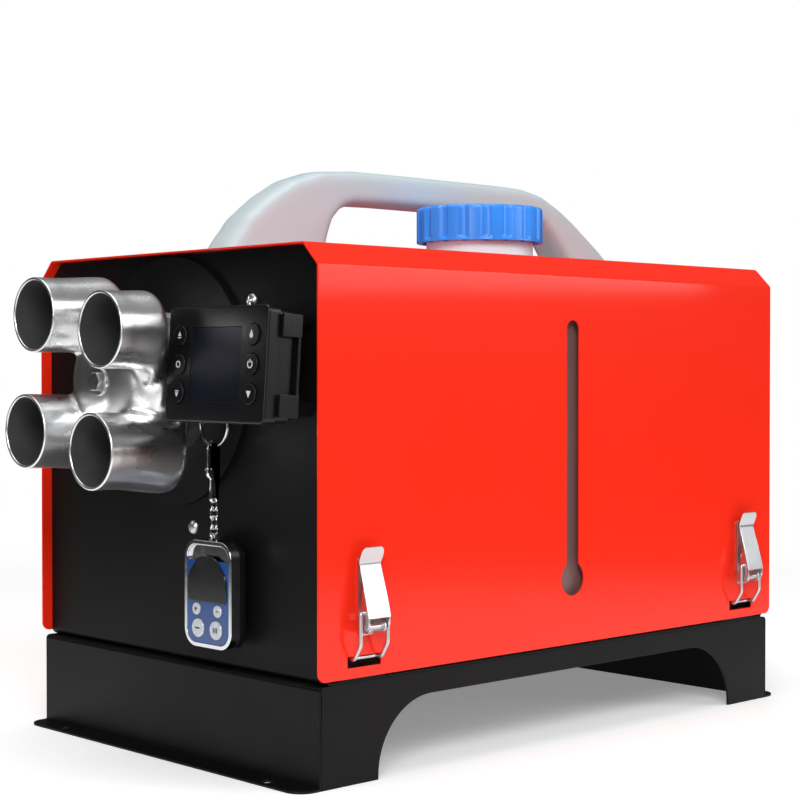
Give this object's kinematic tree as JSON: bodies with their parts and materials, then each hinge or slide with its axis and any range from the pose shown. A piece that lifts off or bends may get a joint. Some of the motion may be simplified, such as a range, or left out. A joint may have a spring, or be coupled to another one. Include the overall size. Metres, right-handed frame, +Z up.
{
  "type": "portable diesel air heater",
  "caption": "Portable diesel air heater: painted sheet cover on a bolt-down stand, saddle tank with handle and cap, multi-way warm-air outlet, display and key-ring remote.",
  "frame": {"origin": "on the ground at the centre of the stand's four foot holes", "axes": "+Z up, -Y the way the warm-air outlets face, +X the side with the sight slot"},
  "size_m": [0.2936, 0.4815, 0.344],
  "materials": {
    "red_paint": "semi-gloss orange-red powder coat",
    "black_paint": "satin black powder coat",
    "zinc_steel": "bright zinc plate",
    "bare_steel": "plain steel",
    "chrome": "polished",
    "cast_aluminium": "bright, lightly ground casting",
    "tank_plastic": "translucent grey-white, blow-moulded",
    "cap_plastic": "blue, moulded flutes",
    "black_plastic": "fine texture",
    "screen_glass": "dark display window",
    "blue_plastic": "metallic blue",
    "smoke_plastic": "smoked",
    "silver_plastic": "silver-white",
    "rubber": "matt",
    "circuit": "board with components"
  },
  "bodies": {
    "casing": {"stand_frame": "black_paint", "stand_side_left": "black_paint", "stand_side_right": "black_paint", "chassis": "black_paint", "cover_shell": "red_paint", "casing_screws": "zinc_steel", "intake_grille": "black_plastic", "power_gland": "black_plastic", "fuel_tank": "tank_plastic", "fuel_filter": "tank_plastic", "fuel_pump": "bare_steel", "pump_mount": "rubber", "fuel_hoses": "rubber", "air_splitter": "cast_aluminium", "splitter_ring": "black_plastic", "splitter_bolt": "zinc_steel", "display_bracket": "black_plastic", "display_back": "black_plastic", "display_front": "black_plastic", "display_screen": "screen_glass", "display_lead": "rubber", "latch_plates": "zinc_steel", "latch_catches": "black_paint", "heater_case": "black_plastic", "heat_exchanger": "cast_aluminium", "burner": "bare_steel", "blower_motor": "bare_steel", "control_board": "circuit", "heater_bracket": "zinc_steel", "combustion_pipes": "bare_steel"},
    "cap_seal": {"cap_liner": "rubber"},
    "cap": {"fuel_cap": "cap_plastic"},
    "ring": {"key_ring": "chrome"},
    "clasp": {"clasp_body": "chrome", "key_chain": "chrome"},
    "gate": {"clasp_gate": "chrome"},
    "fob": {"fob_back": "black_plastic", "fob_frame": "chrome", "fob_face": "blue_plastic", "fob_window": "smoke_plastic"},
    "rotor": {"blower_rotor": "black_plastic"},
    "latch_lever_1": {"latch_lever_1": "zinc_steel"},
    "latch_bail_1": {"latch_bail_1": "zinc_steel"},
    "latch_lever_2": {"latch_lever_2": "zinc_steel"},
    "latch_bail_2": {"latch_bail_2": "zinc_steel"},
    "latch_lever_3": {"latch_lever_3": "zinc_steel"},
    "latch_bail_3": {"latch_bail_3": "zinc_steel"},
    "latch_lever_4": {"latch_lever_4": "zinc_steel"},
    "latch_bail_4": {"latch_bail_4": "zinc_steel"},
    "display_button_1": {"display_button_1": "black_plastic"},
    "display_button_2": {"display_button_2": "black_plastic"},
    "display_button_3": {"display_button_3": "black_plastic"},
    "display_button_4": {"display_button_4": "black_plastic"},
    "display_button_5": {"display_button_5": "black_plastic"},
    "display_button_6": {"display_button_6": "black_plastic"},
    "fob_button_1": {"fob_button_1": "silver_plastic"},
    "fob_button_2": {"fob_button_2": "silver_plastic"},
    "fob_button_3": {"fob_button_3": "silver_plastic"},
    "fob_button_4": {"fob_button_4": "silver_plastic"}
  },
  "joints": [
    {"name": "cap_rise", "type": "slide", "parent": "casing", "child": "cap_seal", "axis": [0, 0, 1], "range_m": [0, 0.009]},
    {"name": "cap_turn", "type": "hinge", "parent": "cap_seal", "child": "cap", "pos_m": [0.063, -0.008, 0.3216], "axis": [0, 0, 1], "range_deg": [0, 540]},
    {"name": "latch_1_open", "type": "hinge", "parent": "casing", "child": "latch_lever_1", "pos_m": [0.1406, -0.1675, 0.0845], "axis": [0, 1, 0], "range_deg": [0, 110]},
    {"name": "latch_1_bail", "type": "hinge", "parent": "latch_lever_1", "child": "latch_bail_1", "pos_m": [0.1406, -0.1675, 0.0925], "axis": [0, 1, 0], "range_deg": [-110, 0]},
    {"name": "latch_2_open", "type": "hinge", "parent": "casing", "child": "latch_lever_2", "pos_m": [0.1406, 0.1675, 0.0845], "axis": [0, 1, 0], "range_deg": [0, 110]},
    {"name": "latch_2_bail", "type": "hinge", "parent": "latch_lever_2", "child": "latch_bail_2", "pos_m": [0.1406, 0.1675, 0.0925], "axis": [0, 1, 0], "range_deg": [-110, 0]},
    {"name": "latch_3_open", "type": "hinge", "parent": "casing", "child": "latch_lever_3", "pos_m": [-0.1406, -0.1675, 0.0845], "axis": [0, -1, 0], "range_deg": [0, 110]},
    {"name": "latch_3_bail", "type": "hinge", "parent": "latch_lever_3", "child": "latch_bail_3", "pos_m": [-0.1406, -0.1675, 0.0925], "axis": [0, -1, 0], "range_deg": [-110, 0]},
    {"name": "latch_4_open", "type": "hinge", "parent": "casing", "child": "latch_lever_4", "pos_m": [-0.1406, 0.1675, 0.0845], "axis": [0, -1, 0], "range_deg": [0, 110]},
    {"name": "latch_4_bail", "type": "hinge", "parent": "latch_lever_4", "child": "latch_bail_4", "pos_m": [-0.1406, 0.1675, 0.0925], "axis": [0, -1, 0], "range_deg": [-110, 0]},
    {"name": "display_button_1_press", "type": "slide", "parent": "casing", "child": "display_button_1", "axis": [0, 0.9976, -0.0698], "range_m": [0, 0.0008], "stiffness_N_per_m": 300},
    {"name": "display_button_2_press", "type": "slide", "parent": "casing", "child": "display_button_2", "axis": [0, 0.9976, -0.0698], "range_m": [0, 0.0008], "stiffness_N_per_m": 300},
    {"name": "display_button_3_press", "type": "slide", "parent": "casing", "child": "display_button_3", "axis": [0, 0.9976, -0.0698], "range_m": [0, 0.0008], "stiffness_N_per_m": 300},
    {"name": "display_button_4_press", "type": "slide", "parent": "casing", "child": "display_button_4", "axis": [0, 0.9976, -0.0698], "range_m": [0, 0.0008], "stiffness_N_per_m": 300},
    {"name": "display_button_5_press", "type": "slide", "parent": "casing", "child": "display_button_5", "axis": [0, 0.9976, -0.0698], "range_m": [0, 0.0008], "stiffness_N_per_m": 300},
    {"name": "display_button_6_press", "type": "slide", "parent": "casing", "child": "display_button_6", "axis": [0, 0.9976, -0.0698], "range_m": [0, 0.0008], "stiffness_N_per_m": 300},
    {"name": "fob_button_1_press", "type": "slide", "parent": "fob", "child": "fob_button_1", "axis": [0, 1, 0], "range_m": [0, 0.0005], "stiffness_N_per_m": 200},
    {"name": "fob_button_2_press", "type": "slide", "parent": "fob", "child": "fob_button_2", "axis": [0, 1, 0], "range_m": [0, 0.0005], "stiffness_N_per_m": 200},
    {"name": "fob_button_3_press", "type": "slide", "parent": "fob", "child": "fob_button_3", "axis": [0, 1, 0], "range_m": [0, 0.0005], "stiffness_N_per_m": 200},
    {"name": "fob_button_4_press", "type": "slide", "parent": "fob", "child": "fob_button_4", "axis": [0, 1, 0], "range_m": [0, 0.0005], "stiffness_N_per_m": 200},
    {"name": "ring_swing", "type": "hinge", "parent": "casing", "child": "ring", "pos_m": [0.051, -0.205, 0.199], "axis": [0, 1, 0], "range_deg": [-25, 8]},
    {"name": "clasp_swing", "type": "hinge", "parent": "ring", "child": "clasp", "pos_m": [0.051, -0.205, 0.1784], "axis": [1, 0, 0], "range_deg": [-60, 0]},
    {"name": "gate_open", "type": "hinge", "parent": "clasp", "child": "gate", "pos_m": [0.051, -0.2091, 0.1668], "axis": [1, 0, 0], "range_deg": [-28, 0], "stiffness_Nm_per_rad": 0.001},
    {"name": "fob_swing", "type": "hinge", "parent": "clasp", "child": "fob", "pos_m": [0.051, -0.205, 0.12795], "axis": [0, 1, 0], "range_deg": [-25, 25]},
    {"name": "rotor_spin", "type": "hinge", "parent": "casing", "child": "rotor", "pos_m": [-0.002, 0.108, 0.214], "axis": [0, 1, 0], "continuous": true}
  ],
  "couplings": [
    {"joint": "cap_rise", "follows": "cap_turn", "m_per_rad": 0.00095493},
    {"joint": "latch_1_bail", "follows": "latch_1_open", "ratio": -1},
    {"joint": "latch_2_bail", "follows": "latch_2_open", "ratio": -1},
    {"joint": "latch_3_bail", "follows": "latch_3_open", "ratio": -1},
    {"joint": "latch_4_bail", "follows": "latch_4_open", "ratio": -1}
  ]
}
